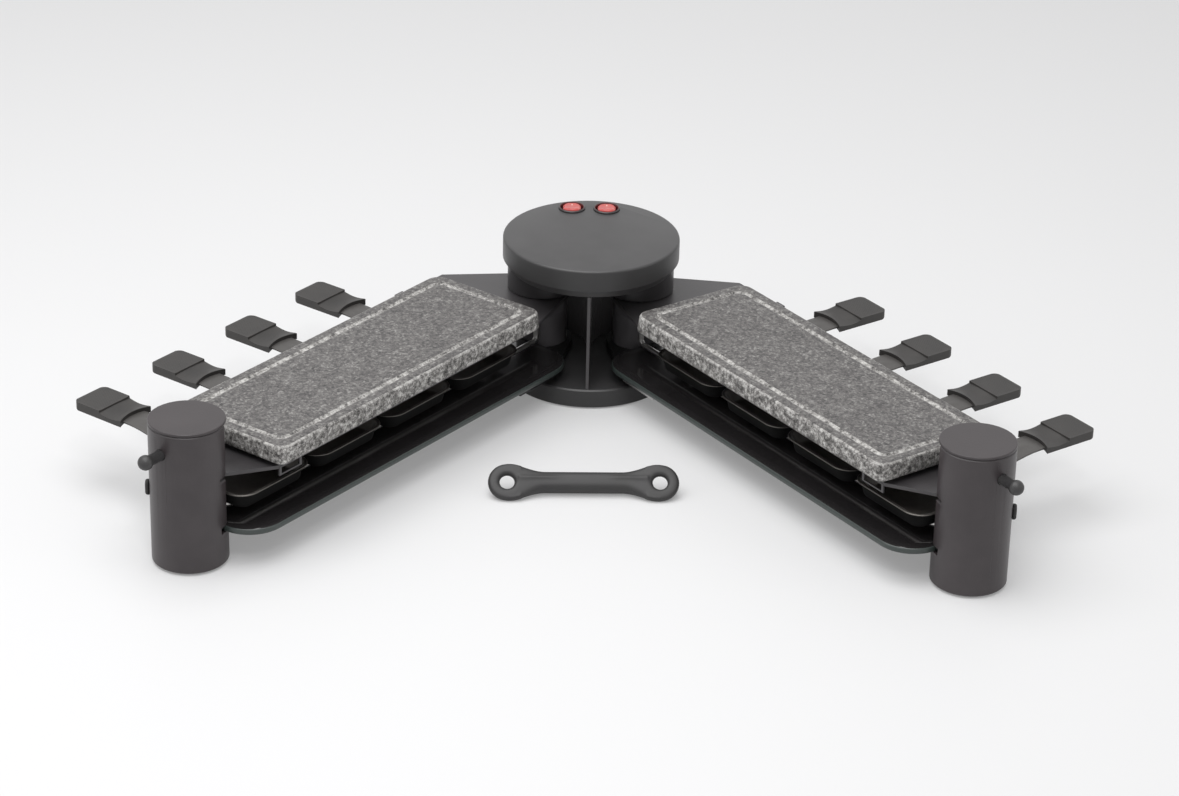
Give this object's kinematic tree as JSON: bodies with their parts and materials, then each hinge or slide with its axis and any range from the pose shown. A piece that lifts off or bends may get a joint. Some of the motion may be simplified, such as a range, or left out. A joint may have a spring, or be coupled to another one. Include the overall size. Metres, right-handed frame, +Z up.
{
  "type": "raclette grill",
  "caption": "Folding tabletop raclette grill: round switch drum, hinged arms with heated hoods over small pans, granite slabs on top, glass trays below, tubular legs and a loose carry handle",
  "frame": {"origin": "the centre of the drum's underside, on the table plane", "axes": "+Z is up, +X runs from the left leg to the right leg, and the arms open towards -Y"},
  "size_m": [0.812, 0.4639, 0.1321],
  "materials": {
    "satin_black": "satin black moulded plastic",
    "painted_black": "satin black enamelled steel",
    "coated_steel": "grey non-stick coating and heat-dulled steel",
    "bare_steel": "satin steel",
    "black_glass": "black glass with a ground edge",
    "granite": "fine grey granite, sawn and lightly polished",
    "black_rubber": "matt black rubber",
    "grip_plastic": "moulded heat-proof plastic, ribbed thumb pad",
    "switch_red": "glossy red rocker"
  },
  "bodies": {
    "drum": {"base": "satin_black", "base_plate": "satin_black", "column": "satin_black", "cap_floor": "satin_black", "cap": "satin_black", "terminal_block": "satin_black", "cord_gland": "black_rubber", "hinge_pin_left": "bare_steel", "hinge_pin_right": "bare_steel", "switch_left": "satin_black", "switch_right": "satin_black"},
    "arm_left": {"hinge_barrel_left": "satin_black", "hinge_box_left": "satin_black", "hood_left": "painted_black", "heater_left": "coated_steel", "pan_rail_left": "bare_steel", "tray_bracket_left": "bare_steel", "leg_tube_left": "painted_black", "leg_cap_left": "painted_black", "leg_core_left": "bare_steel", "leg_foot_left": "black_rubber", "peg_left": "satin_black", "leg_stud_left": "black_rubber"},
    "rocker_left": {"rocker_left": "switch_red"},
    "slab_left": {"slab_left": "granite"},
    "tray_left": {"tray_left": "black_glass"},
    "pan_left_1": {"pan_left_1": "coated_steel", "pan_grip_left_1": "grip_plastic"},
    "pan_left_2": {"pan_left_2": "coated_steel", "pan_grip_left_2": "grip_plastic"},
    "pan_left_3": {"pan_left_3": "coated_steel", "pan_grip_left_3": "grip_plastic"},
    "pan_left_4": {"pan_left_4": "coated_steel", "pan_grip_left_4": "grip_plastic"},
    "arm_right": {"hinge_barrel_right": "satin_black", "hinge_box_right": "satin_black", "hood_right": "painted_black", "heater_right": "coated_steel", "pan_rail_right": "bare_steel", "tray_bracket_right": "bare_steel", "leg_tube_right": "painted_black", "leg_cap_right": "painted_black", "leg_core_right": "bare_steel", "leg_foot_right": "black_rubber", "peg_right": "satin_black", "leg_stud_right": "black_rubber"},
    "rocker_right": {"rocker_right": "switch_red"},
    "slab_right": {"slab_right": "granite"},
    "tray_right": {"tray_right": "black_glass"},
    "pan_right_1": {"pan_right_1": "coated_steel", "pan_grip_right_1": "grip_plastic"},
    "pan_right_2": {"pan_right_2": "coated_steel", "pan_grip_right_2": "grip_plastic"},
    "pan_right_3": {"pan_right_3": "coated_steel", "pan_grip_right_3": "grip_plastic"},
    "pan_right_4": {"pan_right_4": "coated_steel", "pan_grip_right_4": "grip_plastic"},
    "carry_handle": {"carry_handle": "satin_black"}
  },
  "joints": [
    {"name": "arm_hinge_left", "type": "hinge", "parent": "drum", "child": "arm_left", "pos_m": [-0.0412, 0.0101, 0], "axis": [0, 0, -1], "range_deg": [-15, 53.88]},
    {"name": "rocker_tilt_left", "type": "hinge", "parent": "drum", "child": "rocker_left", "pos_m": [-0.0179, 0.0557, 0.1283], "axis": [1, 0, 0], "range_deg": [0, 12]},
    {"name": "slab_lift_left", "type": "slide", "parent": "arm_left", "child": "slab_left", "axis": [0, 0, 1], "range_m": [0, 0.12]},
    {"name": "tray_slide_left", "type": "slide", "parent": "arm_left", "child": "tray_left", "axis": [-0.8078, 0.5895, 0], "range_m": [0, 0.13]},
    {"name": "pan_slide_left_1", "type": "slide", "parent": "arm_left", "child": "pan_left_1", "axis": [-0.8078, 0.5895, 0], "range_m": [0, 0.15]},
    {"name": "pan_slide_left_2", "type": "slide", "parent": "arm_left", "child": "pan_left_2", "axis": [-0.8078, 0.5895, 0], "range_m": [0, 0.15]},
    {"name": "pan_slide_left_3", "type": "slide", "parent": "arm_left", "child": "pan_left_3", "axis": [-0.8078, 0.5895, 0], "range_m": [0, 0.15]},
    {"name": "pan_slide_left_4", "type": "slide", "parent": "arm_left", "child": "pan_left_4", "axis": [-0.8078, 0.5895, 0], "range_m": [0, 0.15]},
    {"name": "arm_hinge_right", "type": "hinge", "parent": "drum", "child": "arm_right", "pos_m": [0.0412, 0.0101, 0], "axis": [0, 0, 1], "range_deg": [-15, 53.88]},
    {"name": "rocker_tilt_right", "type": "hinge", "parent": "drum", "child": "rocker_right", "pos_m": [0.0119, 0.0557, 0.1283], "axis": [1, 0, 0], "range_deg": [0, 12]},
    {"name": "slab_lift_right", "type": "slide", "parent": "arm_right", "child": "slab_right", "axis": [0, 0, 1], "range_m": [0, 0.12]},
    {"name": "tray_slide_right", "type": "slide", "parent": "arm_right", "child": "tray_right", "axis": [0.8078, 0.5895, 0], "range_m": [0, 0.13]},
    {"name": "pan_slide_right_1", "type": "slide", "parent": "arm_right", "child": "pan_right_1", "axis": [0.8078, 0.5895, 0], "range_m": [0, 0.15]},
    {"name": "pan_slide_right_2", "type": "slide", "parent": "arm_right", "child": "pan_right_2", "axis": [0.8078, 0.5895, 0], "range_m": [0, 0.15]},
    {"name": "pan_slide_right_3", "type": "slide", "parent": "arm_right", "child": "pan_right_3", "axis": [0.8078, 0.5895, 0], "range_m": [0, 0.15]},
    {"name": "pan_slide_right_4", "type": "slide", "parent": "arm_right", "child": "pan_right_4", "axis": [0.8078, 0.5895, 0], "range_m": [0, 0.15]},
    {"name": "handle_lift", "type": "slide", "parent": "drum", "child": "carry_handle", "axis": [0, 0, 1], "range_m": [0, 0.1]}
  ]
}
